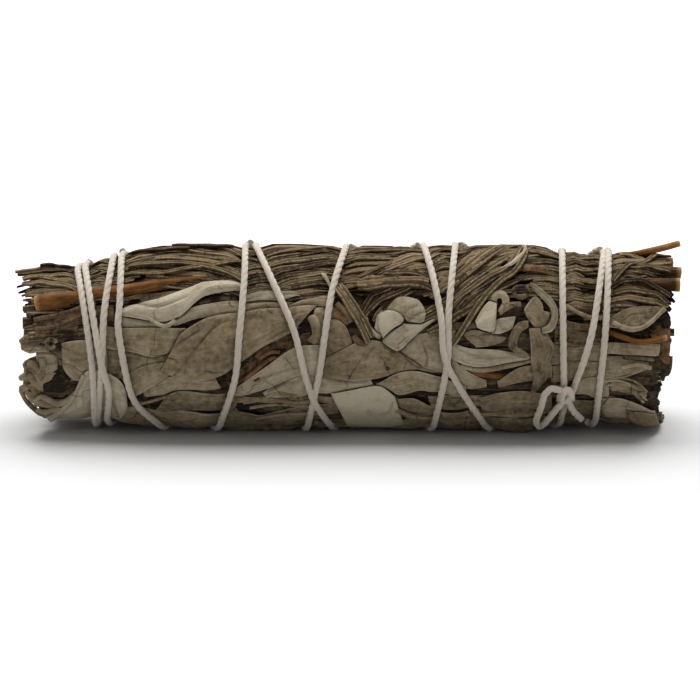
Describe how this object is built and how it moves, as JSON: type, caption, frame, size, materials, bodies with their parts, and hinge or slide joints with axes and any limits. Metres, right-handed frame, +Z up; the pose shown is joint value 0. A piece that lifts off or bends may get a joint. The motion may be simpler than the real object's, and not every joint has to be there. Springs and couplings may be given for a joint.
{
  "type": "sage bunch",
  "caption": "Lying bundle of dried sage leaves and a narrow-leaved herb on woody stems, pressed round and wound with criss-crossed cotton string, to be burned or shown.",
  "frame": {"origin": "middle of the bunch, on the surface it lies on", "axes": "+X along the bunch towards the thin woody stems, -Y towards the front of the picture, +Z up"},
  "size_m": [0.1025, 0.0305, 0.0297],
  "materials": {
    "sage_sprig_front": "matte, dried felted leaf",
    "sage_sprig_low": "matte, dried felted leaf",
    "needle_sprig_top": "matte, dried needle leaf",
    "needle_sprig_back": "matte, dried needle leaf",
    "stem_left": "dry bark",
    "stem_right_thick": "dry bark",
    "stem_right_middle": "dry bark",
    "stem_right_upper": "dry bark",
    "stem_low": "dry bark",
    "stem_middle": "dry bark",
    "stem_back": "dry bark",
    "stem_under": "dry bark",
    "twig_right": "dry bark",
    "twig_front": "dry bark",
    "string": "twisted cotton"
  },
  "bodies": {
    "root": {"sage_sprig_front": "sage_sprig_front", "sage_sprig_low": "sage_sprig_low", "needle_sprig_top": "needle_sprig_top", "needle_sprig_back": "needle_sprig_back", "stem_left": "stem_left", "stem_right_thick": "stem_right_thick", "stem_right_middle": "stem_right_middle", "stem_right_upper": "stem_right_upper", "stem_low": "stem_low", "stem_middle": "stem_middle", "stem_back": "stem_back", "stem_under": "stem_under", "twig_right": "twig_right", "twig_front": "twig_front", "string": "string"}
  },
  "joints": []
}
